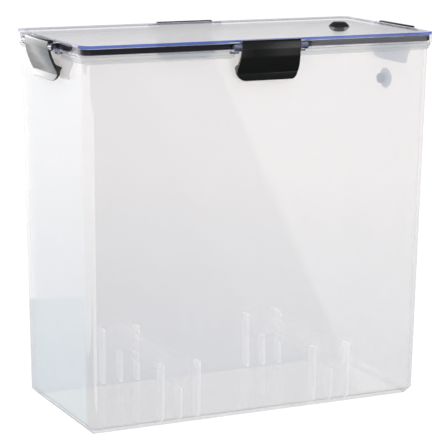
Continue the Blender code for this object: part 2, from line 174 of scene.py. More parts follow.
def combine(target, tool_bm, operation):
    """Boolean with a throwaway tool, whose faces keep their material numbers."""
    tool = add_object("tool", tool_bm)
    for mat in target.data.materials:
        tool.data.materials.append(mat)
    modifier = target.modifiers.new("combine", "BOOLEAN")
    modifier.operation = operation
    modifier.solver = "EXACT"
    modifier.object = tool
    settle(target)
    bpy.data.objects.remove(tool, do_unlink=True)


def rounded_rectangle(half_x, half_y, radius, z):
    points = []
    corners = ((1, 1, 0), (-1, 1, 90), (-1, -1, 180), (1, -1, 270))
    for sign_x, sign_y, start in corners:
        centre_x = sign_x * (half_x - radius)
        centre_y = sign_y * (half_y - radius)
        for step in range(CORNER_STEPS + 1):
            angle = math.radians(start + 90 * step / CORNER_STEPS)
            across, along = radius * math.cos(angle), radius * math.sin(angle)
            points.append(Vector((centre_x + across, centre_y + along, z)))
    return points


def lid_loop(inset, z, radius):
    """A rounded rectangle at an inset from the lid's outer edge."""
    return rounded_rectangle(LID_WIDTH / 2 - inset, LID_DEPTH / 2 - inset, radius, z)


def loft(bm, loops, closed=False, materials=None):
    """Skin a stack of loops. materials gives a material index for each band between two loops."""
    rings = [[bm.verts.new(point) for point in loop] for loop in loops]
    pairs = list(zip(rings, rings[1:]))
    if closed:
        pairs.append((rings[-1], rings[0]))
    else:
        bm.faces.new(list(reversed(rings[0])))
        bm.faces.new(rings[-1])
    for band, (lower, upper) in enumerate(pairs):
        count = len(lower)
        for i in range(count):
            j = (i + 1) % count
            face = bm.faces.new((lower[i], lower[j], upper[j], upper[i]))
            if materials:
                face.material_index = materials[band]


def turned(bm, profile, steps=ROUND_STEPS, closed=False):
    """Turn a profile of (radius, height) about Z."""
    loops = []
    angles = [2 * math.pi * k / steps for k in range(steps)]
    for radius, height in profile:
        loops.append([Vector((radius * math.cos(a), radius * math.sin(a), height)) for a in angles])
    loft(bm, loops, closed)


def extruded(bm, outline, low, high):
    """Extrude an outline of (y, z) points along X."""
    loft(bm, [[Vector((x, y, z)) for y, z in outline] for x in (low, high)])


def arc(centre, radius, start, end, steps):
    points = []
    for step in range(steps + 1):
        angle = math.radians(start + (end - start) * step / steps)
        points.append((centre[0] + radius * math.cos(angle), centre[1] + radius * math.sin(angle)))
    return points


def rounded_outline(points, steps):
    """Round each corner of a closed outline; points are (x, y, radius)."""
    result = []
    count = len(points)
    for i, (x, y, radius) in enumerate(points):
        here = Vector((x, y))
        before = Vector(points[i - 1][:2]) - here
        after = Vector(points[(i + 1) % count][:2]) - here
        if radius <= 0:
            result.append((x, y))
            continue
        half = before.angle(after) / 2
        reach = min(radius / math.tan(half), before.length * 0.48, after.length * 0.48)
        start = here + before.normalized() * reach
        end = here + after.normalized() * reach
        for step in range(steps + 1):
            t = step / steps
            point = start * (1 - t) ** 2 + here * 2 * t * (1 - t) + end * t ** 2
            result.append((point.x, point.y))
    return result


def moved(bm, start, matrix):
    """Move the vertices made since the count start."""
    bm.verts.ensure_lookup_table()
    bmesh.ops.transform(bm, matrix=matrix, verts=bm.verts[start:])


def side_matrix(turn, half_size):
    """From a side's own frame to the world: X along the lid's edge, -Y outboard, origin on the edge."""
    return Matrix.Rotation(turn, 4, "Z") @ Matrix.Translation((0, -half_size, 0))


def along_x(bm, radius, low, high):
    """A round bar along X."""
    start = len(bm.verts)
    turned(bm, [(radius, low), (radius, high)], BAR_STEPS)
    moved(bm, start, Matrix.Rotation(math.pi / 2, 4, "Y"))


# ---------------------------------------------------------------- camera

def make_camera():
    """The photograph's viewpoint, as a fit of the box's corners, edges and latches gives it."""
    data = bpy.data.cameras.new("camera")
    data.lens = 158.3
    data.sensor_width = 36.0
    data.clip_start = 0.05
    data.clip_end = 50.0
    camera = bpy.data.objects.new("camera", data)
    bpy.context.scene.collection.objects.link(camera)
    position = (-0.6525, -1.3375, 0.4387)
    azimuth, elevation, roll = (math.radians(angle) for angle in (-25.893, 11.318, 0.501))
    turn = Matrix.Rotation(azimuth, 4, "Z") @ Matrix.Rotation(math.pi / 2 - elevation, 4, "X")
    camera.matrix_world = Matrix.Translation(position) @ turn @ Matrix.Rotation(roll, 4, "Z")
    bpy.context.scene.camera = camera


# ---------------------------------------------------------------- node helpers

def remap(nodes, links, source, start, end, at_start, at_end):
    """A value that runs from at_start to at_end as the source runs from start to end, and holds outside."""
    node = nodes.new("ShaderNodeMapRange")
    for name, number in (("From Min", start), ("From Max", end), ("To Min", at_start), ("To Max", at_end)):
        node.inputs[name].default_value = number
    links.new(source, node.inputs["Value"])
    return node.outputs["Result"]


def calculate(nodes, links, operation, first, second):
    """A Math node on a socket and a second socket or number."""
    node = nodes.new("ShaderNodeMath")
    node.operation = operation
    links.new(first, node.inputs[0])
    if isinstance(second, float):
        node.inputs[1].default_value = second
    else:
        links.new(second, node.inputs[1])
    return node.outputs["Value"]


def straight_view(nodes, links):
    """1 where the camera sees a backdrop with nothing in between, 0 for all other light."""
    ray = nodes.new("ShaderNodeLightPath").outputs
    open_air = calculate(nodes, links, "LESS_THAN", ray["Transparent Depth"], 0.5)
    return calculate(nodes, links, "MULTIPLY", open_air, ray["Is Camera Ray"])


# ---------------------------------------------------------------- studio

def make_world():
    """White to the camera and a bright even surround for scattered light.

    Reflections see something else: bright behind the object, dark in front of it, below it and overhead.
    """
    world = bpy.data.worlds.new("studio")
    bpy.context.scene.world = world
    world.use_nodes = True
    nodes, links = world.node_tree.nodes, world.node_tree.links
    background = nodes["Background"]
    background.inputs["Color"].default_value = (1.0, 1.0, 1.0, 1.0)
    coordinates = nodes.new("ShaderNodeTexCoord")
    direction = nodes.new("ShaderNodeSeparateXYZ")
    links.new(coordinates.outputs["Generated"], direction.inputs["Vector"])
    behind = remap(nodes, links, direction.outputs["Y"], -0.2, 0.6, 0.10, 0.95)
    below = remap(nodes, links, direction.outputs["Z"], -0.42, -0.30, 0.08, 1.0)
    above = remap(nodes, links, direction.outputs["Z"], 0.25, 0.50, 1.0, 0.12)
    level = calculate(nodes, links, "MULTIPLY", below, above)
    mirrored = calculate(nodes, links, "MULTIPLY", behind, level)

    ray = nodes.new("ShaderNodeLightPath").outputs
    reflection = calculate(nodes, links, "MULTIPLY", ray["Is Glossy Ray"], ray["Is Reflection Ray"])
    surround = nodes.new("ShaderNodeMix")
    surround.inputs["A"].default_value = 1.62
    links.new(reflection, surround.inputs["Factor"])
    links.new(mirrored, surround.inputs["B"])
    through = calculate(nodes, links, "MAXIMUM", ray["Is Camera Ray"], ray["Is Transmission Ray"])
    strength = calculate(nodes, links, "MAXIMUM", surround.outputs["Result"], through)
    links.new(strength, background.inputs["Strength"])


def make_floor():
    """Plain white to the camera; as a light and through the walls, darker and cooler near the object, a
    painted shade standing in for the object's shadow on the floor.
    """
    bm = bmesh.new()
    bmesh.ops.create_grid(bm, x_segments=1, y_segments=1, size=8.0)
    floor = add_object("floor", bm)
    mat = bpy.data.materials.new("pale_floor")
    mat.use_nodes = True
    nodes, links = mat.node_tree.nodes, mat.node_tree.links
    nodes.remove(nodes["Principled BSDF"])
    place = nodes.new("ShaderNodeNewGeometry")
    distance = nodes.new("ShaderNodeVectorMath")
    distance.operation = "DISTANCE"
    left_end = (-0.15, 0.0, 0.0)
    distance.inputs[1].default_value = left_end
    # near is the painted shade round the object's foot, far is the plain floor beyond it.
    near, far = (0.67, 0.71, 0.77, 1.0), (1.05, 1.02, 0.99, 1.0)
    tone = nodes.new("ShaderNodeMix")
    tone.data_type = "RGBA"
    tone.inputs["A"].default_value = near
    tone.inputs["B"].default_value = far
    seen = nodes.new("ShaderNodeMix")
    seen.data_type = "RGBA"
    seen.inputs["B"].default_value = (1.05, 1.05, 1.05, 1.0)
    glow = nodes.new("ShaderNodeEmission")
    links.new(place.outputs["Position"], distance.inputs["Vector"])
    links.new(remap(nodes, links, distance.outputs["Value"], 0.05, 1.1, 0.0, 1.0), tone.inputs["Factor"])
    links.new(tone.outputs["Result"], seen.inputs["A"])
    links.new(straight_view(nodes, links), seen.inputs["Factor"])
    links.new(seen.outputs["Result"], glow.inputs["Color"])
    links.new(glow.outputs["Emission"], nodes["Material Output"].inputs["Surface"])
    floor.data.materials.append(mat)
    floor.visible_glossy = False


def upright(start, end, low, high):
    """Corners of an upright rectangle along the line between two (x, y) places."""
    return [(*start, low), (*end, low), (*end, high), (*start, high)]


def make_panel(name, corners, low_glow, high_glow, color):
    """An upright four-cornered panel, glowing from low_glow at its foot to high_glow at its top.

    Only reflections show it.
    """
    bm = bmesh.new()
    bm.faces.new([bm.verts.new(corner) for corner in corners])
    panel = add_object(name, bm)
    mat = bpy.data.materials.new(name)
    mat.use_nodes = True
    nodes, links = mat.node_tree.nodes, mat.node_tree.links
    nodes.remove(nodes["Principled BSDF"])
    glow = nodes.new("ShaderNodeEmission")
    glow.inputs["Color"].default_value = (*color, 1.0)
    coordinates = nodes.new("ShaderNodeTexCoord")
    split = nodes.new("ShaderNodeSeparateXYZ")
    links.new(coordinates.outputs["Generated"], split.inputs["Vector"])
    strength = remap(nodes, links, split.outputs["Z"], 0.0, 1.0, low_glow, high_glow)
    links.new(strength, glow.inputs["Strength"])
    links.new(glow.outputs["Emission"], nodes["Material Output"].inputs["Surface"])
    panel.data.materials.append(mat)
    panel.visible_camera = False
    panel.visible_diffuse = False
    panel.visible_transmission = False


def make_panels():
    """Each panel lights a wall, a lid edge or a latch by reflection, and is named for where it stands."""
    neutral = (1.0, 1.0, 1.0)
    cool = (0.93, 0.99, 1.06)
    bluish = (0.73, 0.90, 0.97)
    far_left, wall_end = (-0.64, 0.364), (-0.31, 0.5235)
    latch_end, far_right = (-0.244, 0.5554), (0.02, 0.683)
    wing_start, wing_end = (-0.34, -0.45), (-0.34, 0.20)
    front_start, front_end = (-0.60, -1.0), (0.12, -1.0)
    strip_start, strip_end = (0.545, -1.0), (1.40, -1.0)
    slanted = [(0.645, -1.0, -0.35), (1.40, -1.0, -0.35), (1.40, -1.0, 0.163), (0.394, -1.0, 0.163)]
    panels = (
        ("left_panel", upright(far_left, wall_end, -0.047, 0.19), 1.6, 1.85, cool),
        ("left_low_panel", upright(far_left, wall_end, -0.60, -0.047), 1.55, 1.55, bluish),
        ("left_inner_panel", upright(wall_end, latch_end, -0.047, 0.19), 2.6, 3.4, neutral),
        ("left_upper_panel", upright(far_left, far_right, 0.19, 0.26), 2.0, 2.6, neutral),
        ("left_high_panel", upright(far_left, far_right, 0.26, 0.40), 5.5, 5.5, neutral),
        ("left_wing", upright(wing_start, wing_end, 0.0, 0.238), 2.2, 2.5, neutral),
        ("front_panel", upright(front_start, front_end, -0.30, 0.078), 2.5, 2.5, neutral),
        ("right_front_panel", slanted, 1.2, 1.3, neutral),
        ("right_front_strip", upright(strip_start, strip_end, 0.163, 0.26), 1.9, 1.9, neutral),
    )
    for panel in panels:
        make_panel(*panel)


def make_top_light():
    data = bpy.data.lights.new("top_light", "AREA")
    data.shape = "SQUARE"
    data.size = 1.0
    data.energy = 2.0
    light = bpy.data.objects.new("top_light", data)
    light.location = (0.2, -0.2, 1.4)
    light.visible_camera = False
    light.visible_glossy = False
    bpy.context.scene.collection.objects.link(light)


def make_studio():
    make_world()
    make_floor()
    make_panels()
    make_top_light()
    scene = bpy.context.scene
    scene.view_settings.view_transform = "Standard"
    scene.cycles.transparent_max_bounces = 32


# ---------------------------------------------------------------- materials

def principled(name, color, roughness):
    mat = bpy.data.materials.new(name)
    mat.use_nodes = True
    shader = mat.node_tree.nodes["Principled BSDF"]
    shader.inputs["Base Color"].default_value = (*color, 1.0)
    shader.inputs["Roughness"].default_value = roughness
    return mat, shader


def add_grain(mat, shader, scale, strength, distance, stretch=(1, 1, 1)):
    """Fine moulding texture as a bump, in the object's own coordinates."""
    nodes, links = mat.node_tree.nodes, mat.node_tree.links
    coordinates = nodes.new("ShaderNodeTexCoord")
    mapping = nodes.new("ShaderNodeMapping")
    mapping.inputs["Scale"].default_value = stretch
    noise = nodes.new("ShaderNodeTexNoise")
    noise.inputs["Scale"].default_value = scale
    noise.inputs["Detail"].default_value = 3.0
    bump = nodes.new("ShaderNodeBump")
    bump.inputs["Strength"].default_value = strength
    bump.inputs["Distance"].default_value = distance
    links.new(coordinates.outputs["Object"], mapping.inputs["Vector"])
    links.new(mapping.outputs["Vector"], noise.inputs["Vector"])
    links.new(noise.outputs["Fac"], bump.inputs["Height"])
    links.new(bump.outputs["Normal"], shader.inputs["Normal"])


def add_roughness_variation(mat, shader, low, high, scale):
    nodes, links = mat.node_tree.nodes, mat.node_tree.links
    coordinates = nodes.new("ShaderNodeTexCoord")
    noise = nodes.new("ShaderNodeTexNoise")
    noise.inputs["Scale"].default_value = scale
    noise.inputs["Detail"].default_value = 4.0
    links.new(coordinates.outputs["Object"], noise.inputs["Vector"])
    roughness = remap(nodes, links, noise.outputs["Fac"], 0.3, 0.7, low, high)
    links.new(roughness, shader.inputs["Roughness"])


def gloss_over(nodes, links, body, roughness):
    """Cover a body with a glossy skin that mirrors 4% of the light straight on and all of it at a glance."""
    facing = nodes.new("ShaderNodeLayerWeight")
    sharp = calculate(nodes, links, "POWER", facing.outputs["Facing"], 5.0)
    gloss = nodes.new("ShaderNodeBsdfGlossy")
    gloss.inputs["Roughness"].default_value = roughness
    skin = nodes.new("ShaderNodeMixShader")
    links.new(remap(nodes, links, sharp, 0.0, 1.0, 0.04, 1.0), skin.inputs["Fac"])
    links.new(body.outputs["Shader"], skin.inputs[1])
    links.new(gloss.outputs["BSDF"], skin.inputs[2])
    links.new(skin.outputs["Shader"], nodes["Material Output"].inputs["Surface"])
    return gloss


def milky_material(name, color, through, cloud, gloss_roughness=None):
    """Milky plastic: part of the light goes straight through and the rest scatters both ways.

    A gloss roughness gives it a smooth skin; without one it is matt.
    """
    mat, shader = principled(name, color, 0.5)
    shader.inputs["Specular IOR Level"].default_value = 0.0
    nodes, links = mat.node_tree.nodes, mat.node_tree.links
    clear = nodes.new("ShaderNodeBsdfTransparent")
    clear.inputs["Color"].default_value = (*through, 1.0)
    forward = nodes.new("ShaderNodeBsdfTranslucent")
    forward.inputs["Color"].default_value = (*color, 1.0)
    scatter = nodes.new("ShaderNodeMixShader")
    scatter.inputs["Fac"].default_value = 0.4
    body = nodes.new("ShaderNodeMixShader")
    body.inputs["Fac"].default_value = cloud
    links.new(shader.outputs["BSDF"], scatter.inputs[1])
    links.new(forward.outputs["BSDF"], scatter.inputs[2])
    links.new(clear.outputs["BSDF"], body.inputs[1])
    links.new(scatter.outputs["Shader"], body.inputs[2])
    if gloss_roughness is None:
        links.new(body.outputs["Shader"], nodes["Material Output"].inputs["Surface"])
    else:
        gloss_over(nodes, links, body, gloss_roughness)
    return mat


def clear_material(name, color, roughness):
    """Clear plastic that refracts, and lets lamps through as thin clear plastic does."""
    mat, shader = principled(name, color, roughness)
    shader.inputs["Transmission Weight"].default_value = 1.0
    shader.inputs["IOR"].default_value = 1.49
    nodes, links = mat.node_tree.nodes, mat.node_tree.links
    add_grain(mat, shader, 40.0, 0.05, 0.0002)
    path = nodes.new("ShaderNodeLightPath")
    clear = nodes.new("ShaderNodeBsdfTransparent")
    clear.inputs["Color"].default_value = (0.93, 0.93, 0.95, 1)
    mix = nodes.new("ShaderNodeMixShader")
    links.new(path.outputs["Is Shadow Ray"], mix.inputs["Fac"])
    links.new(shader.outputs["BSDF"], mix.inputs[1])
    links.new(clear.outputs["BSDF"], mix.inputs[2])
    links.new(mix.outputs["Shader"], nodes["Material Output"].inputs["Surface"])
    return mat


def skin_material(name, tint, color, solid, gloss_roughness):
    """Thin clear plastic: a tinted see-through skin, part of it solid colour, under a clear gloss."""
    mat, shader = principled(name, color, 0.3)
    shader.inputs["Specular IOR Level"].default_value = 0.0
    nodes, links = mat.node_tree.nodes, mat.node_tree.links
    clear = nodes.new("ShaderNodeBsdfTransparent")
    clear.inputs["Color"].default_value = (*tint, 1.0)
    body = nodes.new("ShaderNodeMixShader")
    body.inputs["Fac"].default_value = solid
    links.new(clear.outputs["BSDF"], body.inputs[1])
    links.new(shader.outputs["BSDF"], body.inputs[2])
    gloss = gloss_over(nodes, links, body, gloss_roughness)
    add_grain(mat, gloss, 40.0, 0.05, 0.0002)
    return mat


def black_plastic_material():
    mat, shader = principled("black_plastic", (0.007, 0.0075, 0.0075), 0.25)
    shader.inputs["IOR"].default_value = 1.6
    add_grain(mat, shader, 700.0, 0.05, 0.00004)
    add_roughness_variation(mat, shader, 0.23, 0.27, 120.0)
    return mat


def silicone_material():
    mat, shader = principled("black_silicone", (0.004, 0.004, 0.006), 0.5)
    shader.inputs["Specular IOR Level"].default_value = 0.2
    add_grain(mat, shader, 500.0, 0.25, 0.0001)
    return mat


def rubber_material():
    mat, shader = principled("black_rubber", (0.012, 0.012, 0.012), 0.5)
    add_grain(mat, shader, 600.0, 0.3, 0.0001)
    return mat


def steel_material():
    mat, shader = principled("dark_steel", (0.18, 0.18, 0.20), 0.28)
    shader.inputs["Metallic"].default_value = 1.0
    add_grain(mat, shader, 300.0, 0.15, 0.00005, stretch=(30, 1, 1))
    return mat


# ---------------------------------------------------------------- tub

def wall_inset(z):
    return WALL_INSET + DRAFT * (REFERENCE_HEIGHT - z) / REFERENCE_HEIGHT


def inner_wall_y(z):
    return LID_DEPTH / 2 - wall_inset(z) - WALL


def socket_ribs():
    bm = bmesh.new()
    inner_face = inner_wall_y(ROLLER_HEIGHT) - RIB_DEPTH
    in_wall = inner_wall_y(ROLLER_HEIGHT) + WALL / 2
    in_floor = FLOOR - 1.0 * MM
    rounding = 2.0 * MM
    for along, top in ((-RIB_PITCH / 2, TALL_RIB_TOP), (0, SHORT_RIB_TOP), (RIB_PITCH / 2, TALL_RIB_TOP)):
        outline = [(inner_face, in_floor), (in_wall - 4.4 * MM, in_floor), (in_wall - 0.3 * MM, 6.5 * MM),
                   (in_wall, top)]
        outline += arc((inner_face + rounding, top - rounding), rounding, 90, 180, 8)
        for centre in (-ROLLER_X, ROLLER_X):
            for turn in (1, -1):
                placed = [(turn * y, z) for y, z in outline]
                middle = centre + along
                extruded(bm, placed, middle - RIB_THICKNESS / 2, middle + RIB_THICKNESS / 2)
    for face in bm.faces:
        face.material_index = TUB_RIB
    return bm


def side_box(bm, turn, half_size, width, outboard, inset, low, high):
    outline = [(-outboard, low), (inset, low), (inset, high), (-outboard, high)]
    start = len(bm.verts)
    extruded(bm, outline, -width / 2, width / 2)
    moved(bm, start, side_matrix(turn, half_size))


def flange_notches():
    bm = bmesh.new()
    for _, turn, half_size in SIDES:
        low = STEP_BOTTOM - 0.6 * MM
        high = FLANGE_TOP + 0.5 * MM
        side_box(bm, turn, half_size, NOTCH_WIDTH, 5 * MM, NOTCH_INSET, low, high)
    return bm


def keepers():
    bm = bmesh.new()
    for _, turn, half_size in SIDES:
        in_wall = wall_inset(KEEPER_BOTTOM) + WALL / 2
        side_box(bm, turn, half_size, KEEPER_WIDTH, -KEEPER_INSET, in_wall, KEEPER_BOTTOM, KEEPER_TOP)
    return bm


def side_hole():
    """A bar through the right wall that clears the side plug's stem, which is half as wide as its head."""
    low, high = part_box("side_plug")
    radius = (high.y - low.y) / 4 + 0.2 * MM
    reach = 12 * MM
    bm = bmesh.new()
    start = len(bm.verts)
    turned(bm, [(radius, -reach), (radius, reach)])
    moved(bm, start, Matrix.Translation((low + high) / 2) @ Matrix.Rotation(math.pi / 2, 4, "Y"))
    return bm


def make_tub(wall_mat, rib_mat, flange_mat):
    """Loops from the base up the outside, round the flange, and over the rim down to the inner floor."""
    soft = 0.35 * MM
    crease = 0.3 * MM
    narrow = TUB_CORNER - BASE_CHAMFER
    wall_top = wall_inset(STEP_BOTTOM)
    wall = [
        lid_loop(wall_inset(0) + BASE_CHAMFER + 1.5 * crease, 0, narrow),
        lid_loop(wall_inset(0) + BASE_CHAMFER + 0.3 * crease, 0.3 * crease, narrow),
        lid_loop(wall_inset(0) + BASE_CHAMFER - crease, 1.1 * crease, narrow + crease),
        lid_loop(wall_inset(BASE_CHAMFER) + crease, BASE_CHAMFER - crease, TUB_CORNER - crease),
        lid_loop(wall_inset(BASE_CHAMFER) + 0.3 * crease, BASE_CHAMFER + 0.4 * crease, TUB_CORNER),
        lid_loop(wall_inset(BASE_CHAMFER) + 0.1 * crease, BASE_CHAMFER + 1.5 * crease, TUB_CORNER),
        lid_loop(wall_top, STEP_BOTTOM - 0.4 * MM, TUB_CORNER),
        lid_loop(wall_top - 0.15 * MM, STEP_BOTTOM, TUB_CORNER),
    ]
    flange = [
        lid_loop(STEP_INSET + 0.1 * MM, STEP_BOTTOM + 0.3 * MM, TUB_CORNER),
        lid_loop(STEP_INSET, STEP_BOTTOM + 0.7 * MM, TUB_CORNER),
        lid_loop(STEP_INSET, FLANGE_BOTTOM, TUB_CORNER),
        lid_loop(FLANGE_INSET + soft, FLANGE_BOTTOM + 0.1 * MM, TUB_CORNER),
        lid_loop(FLANGE_INSET + 0.1 * MM, FLANGE_BOTTOM + 0.3 * MM, TUB_CORNER),
        lid_loop(FLANGE_INSET, FLANGE_BOTTOM + 0.6 * MM, TUB_CORNER),
        lid_loop(FLANGE_INSET, FLANGE_TOP - soft, TUB_CORNER),
        lid_loop(FLANGE_INSET + 0.1 * MM, FLANGE_TOP - 0.1 * MM, TUB_CORNER),
        lid_loop(FLANGE_INSET + soft, FLANGE_TOP, TUB_CORNER),
    ]
    inside = [
        lid_loop(wall_inset(FLANGE_TOP), FLANGE_TOP, TUB_CORNER),
        lid_loop(wall_inset(RIM_TOP), RIM_TOP - soft, TUB_CORNER),
        lid_loop(wall_inset(RIM_TOP) + soft, RIM_TOP, TUB_CORNER),
        lid_loop(wall_inset(RIM_TOP) + WALL - soft, RIM_TOP, TUB_INNER_CORNER),
        lid_loop(wall_inset(RIM_TOP) + WALL, RIM_TOP - soft, TUB_INNER_CORNER),
    ]
    inner_steps = 10
    for step in range(inner_steps + 1):
        angle = math.pi / 2 * (1 - step / inner_steps)
        z = FLOOR + INNER_FILLET * (1 - math.cos(angle))
        pulled_in = INNER_FILLET * (1 - math.sin(angle))
        inside.append(lid_loop(wall_inset(z) + WALL + pulled_in, z, TUB_INNER_CORNER - pulled_in))
    bands = [TUB_WALL] * (len(wall) - 1) + [TUB_FLANGE] * len(flange) + [TUB_WALL] * len(inside)
    bm = bmesh.new()
    loft(bm, wall + flange + inside, materials=bands)
    tub = add_object("frosted_tub", bm)
    for mat in (wall_mat, rib_mat, flange_mat):
        tub.data.materials.append(mat)
    combine(tub, socket_ribs(), "UNION")
    combine(tub, flange_notches(), "DIFFERENCE")
    combine(tub, keepers(), "UNION")
    combine(tub, side_hole(), "DIFFERENCE")
    shade(tub)
    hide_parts("container_body")
    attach(tub, "tub")


# ---------------------------------------------------------------- lid and seal

def lug_outline():
    axis = (-LATCH_AXIS_OUTBOARD, LATCH_AXIS_HEIGHT)
    in_skirt = SKIRT_THICKNESS / 2
    outline = [(in_skirt, SKIRT_BOTTOM + 0.5 * MM), (-0.3 * MM, LUG_BOTTOM), (-2.6 * MM, LUG_BOTTOM)]
    outline += arc(axis, LUG_RADIUS, -60, -270, 24)
    outline += [(in_skirt, LATCH_AXIS_HEIGHT + LUG_RADIUS + 0.4 * MM)]
    return outline


def hinge_lugs():
    bm = bmesh.new()
    outer = PIN_REACH - 0.05 * MM
    for _, turn, half_size in SIDES:
        for low in (-outer, outer - LUG_WIDTH):
            start = len(bm.verts)
            extruded(bm, lug_outline(), low, low + LUG_WIDTH)
            moved(bm, start, side_matrix(turn, half_size))
    for face in bm.faces:
        face.material_index = LID_LUG
    return bm


def lid_holes():
    """The pins' bores through the lugs, and the outlet hole."""
    outlet_radius = 4.3 * MM
    spare = 5 * MM
    bm = bmesh.new()
    for _, turn, half_size in SIDES:
        start = len(bm.verts)
        along_x(bm, PIN_HOLE_RADIUS, -PIN_REACH - 3 * MM, PIN_REACH + 3 * MM)
        axis = Matrix.Translation((0, -LATCH_AXIS_OUTBOARD, LATCH_AXIS_HEIGHT))
        moved(bm, start, side_matrix(turn, half_size) @ axis)
    low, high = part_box("lid_plug")
    start = len(bm.verts)
    turned(bm, [(outlet_radius, LID_UNDERSIDE - spare), (outlet_radius, LID_TOP + spare)])
    moved(bm, start, Matrix.Translation(((low.x + high.x) / 2, 0, 0)))
    return bm


def make_lid(clear_mat, edge_mat, lug_mat, pale_edge_mat, panel_mat):
    """Loops from the inner lip out to the skirt, up to the rounded edge, and in to the sunk panel."""
    inner_skirt = LID_CORNER - SKIRT_THICKNESS
    edge_height = 2.1 * MM
    skirt = [
        lid_loop(LIP_INNER_INSET, LID_UNDERSIDE, 4.6 * MM),
        lid_loop(LIP_INNER_INSET, LIP_BOTTOM, 4.6 * MM),
        lid_loop(LIP_OUTER_INSET, LIP_BOTTOM, 6.0 * MM),
        lid_loop(LIP_OUTER_INSET, LID_UNDERSIDE, 6.0 * MM),
        lid_loop(SKIRT_THICKNESS, LID_UNDERSIDE, inner_skirt),
        lid_loop(SKIRT_THICKNESS, SKIRT_BOTTOM, inner_skirt),
        lid_loop(0.2 * MM, SKIRT_BOTTOM, LID_CORNER),
        lid_loop(0, SKIRT_BOTTOM + 0.2 * MM, LID_CORNER),
        lid_loop(0, LID_TOP - edge_height, LID_CORNER),
    ]
    edge = []
    rounding = 0.7 * MM
    rounding_steps = 6
    for step in range(rounding_steps + 1):
        angle = math.pi / 2 * step / rounding_steps
        inset = rounding * (1 - math.cos(angle))
        edge.append(lid_loop(inset, LID_TOP - rounding * (1 - math.sin(angle)), LID_CORNER - inset))
    top = [
        lid_loop(BORDER_WIDTH - 0.2 * MM, LID_TOP, LID_CORNER - BORDER_WIDTH + 0.2 * MM),
        lid_loop(BORDER_WIDTH, LID_TOP - 0.1 * MM, LID_CORNER - BORDER_WIDTH),
        lid_loop(BORDER_WIDTH + 0.4 * MM, PANEL_TOP + 0.1 * MM, LID_CORNER - BORDER_WIDTH - 0.4 * MM),
        lid_loop(BORDER_WIDTH + 0.6 * MM, PANEL_TOP, LID_CORNER - BORDER_WIDTH - 0.6 * MM),
    ]
    # The band round the rounded top edge carries painted refraction: dark blue along the front, paler along
    # the back and the ends.
    bands = [LID_CLEAR] * (len(skirt) - 1) + [LID_FRONT_EDGE] * len(edge) + [LID_CLEAR] * len(top)
    bm = bmesh.new()
    loft(bm, skirt + edge + top, materials=bands)
    for face in bm.faces:
        centre = face.calc_center_median()
        if face.material_index == LID_FRONT_EDGE and centre.y > LID_CORNER - LID_DEPTH / 2:
            face.material_index = LID_PALE_EDGE
        if face.material_index == LID_CLEAR and centre.z > PANEL_TOP - 0.05 * MM:
            face.material_index = LID_PANEL
    lid = add_object("clear_lid", bm)
    for mat in (clear_mat, edge_mat, lug_mat, pale_edge_mat, panel_mat):
        lid.data.materials.append(mat)
    combine(lid, hinge_lugs(), "UNION")
    combine(lid, lid_holes(), "DIFFERENCE")
    shade(lid)
    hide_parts("lid")
    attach(lid, "lid")


def make_gasket(mat):
    outer_inset = LID_WIDTH / 2 - GASKET_HIGH.x
    inner_inset = LIP_OUTER_INSET - 0.3 * MM
    outer = LID_CORNER - outer_inset
    inner = 6.3 * MM
    low, high = GASKET_LOW.z, GASKET_HIGH.z
    edge = 0.6 * MM
    loops = []
    steps = 4
    for step in range(steps + 1):
        angle = math.radians(180 + 90 * step / steps)
        cut = edge * (1 + math.cos(angle))
        loops.append(lid_loop(inner_inset - cut, low + edge * (1 + math.sin(angle)), inner + cut * 0.5))
    for step in range(steps + 1):
        angle = math.radians(270 + 90 * step / steps)
        cut = edge * (1 - math.cos(angle))
        loops.append(lid_loop(outer_inset + cut, low + edge * (1 + math.sin(angle)), outer))
    loops.append(lid_loop(outer_inset, high - 0.3 * MM, outer))
    loops.append(lid_loop(outer_inset + 0.3 * MM, high, outer))
    loops.append(lid_loop(inner_inset, high, inner))
    bm = bmesh.new()
    loft(bm, loops, closed=True)
    gasket = add_object("seal_ring", bm)
    gasket.data.materials.append(mat)
    shade(gasket, 50)
    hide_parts("lid_gasket")
    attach(gasket, "lid")


# ---------------------------------------------------------------- latches

def latch_outline():
    """Side view of a latch, from the top's inner end round the outside.

    The points are (outboard, height, corner radius) in millimetres.
    """
    face = 8.6
    top = LID_TOP / MM + 0.2
    points = [
        (4.0, top - 1.0, 0.3), (4.9, top, 0.3), (face - 0.1, top, 2.7), (face - 0.05, 284.0, 6),
        (6.9, 277.2, 20), (4.6, 271.4, 20), (2.6, 267.2, 8), (1.6, 264.9, 1.0), (2.3, 262.6, 6),
        (3.5, 259.85, 0.5), (2.6, 259.75, 0.5),
        (0.4, 262.8, 3), (-0.45, 265.2, 4), (-0.9, 267.8, 1.2), (-2.0, 269.5, 0.4), (-2.0, 270.2, 0.3),
        (1.2, 271.8, 0.5), (3.0, 272.8, 1.2), (5.0, 277.6, 20), (6.65, 284.0, 6), (6.7, 287.3, 0.8),
        (4.0, 287.3, 0.3),
    ]
    return rounded_outline([(o * MM, z * MM, r * MM) for o, z, r in points], 6)


def shared_mesh(obj, mat, angle):
    """Finish a shape's mesh for several objects to share, and drop the shape's own object."""
    mesh = obj.data
    mesh.materials.clear()
    mesh.materials.append(mat)
    mesh.shade_smooth()
    mesh.set_sharp_from_angle(angle=math.radians(angle))
    bpy.data.objects.remove(obj, do_unlink=True)
    return mesh


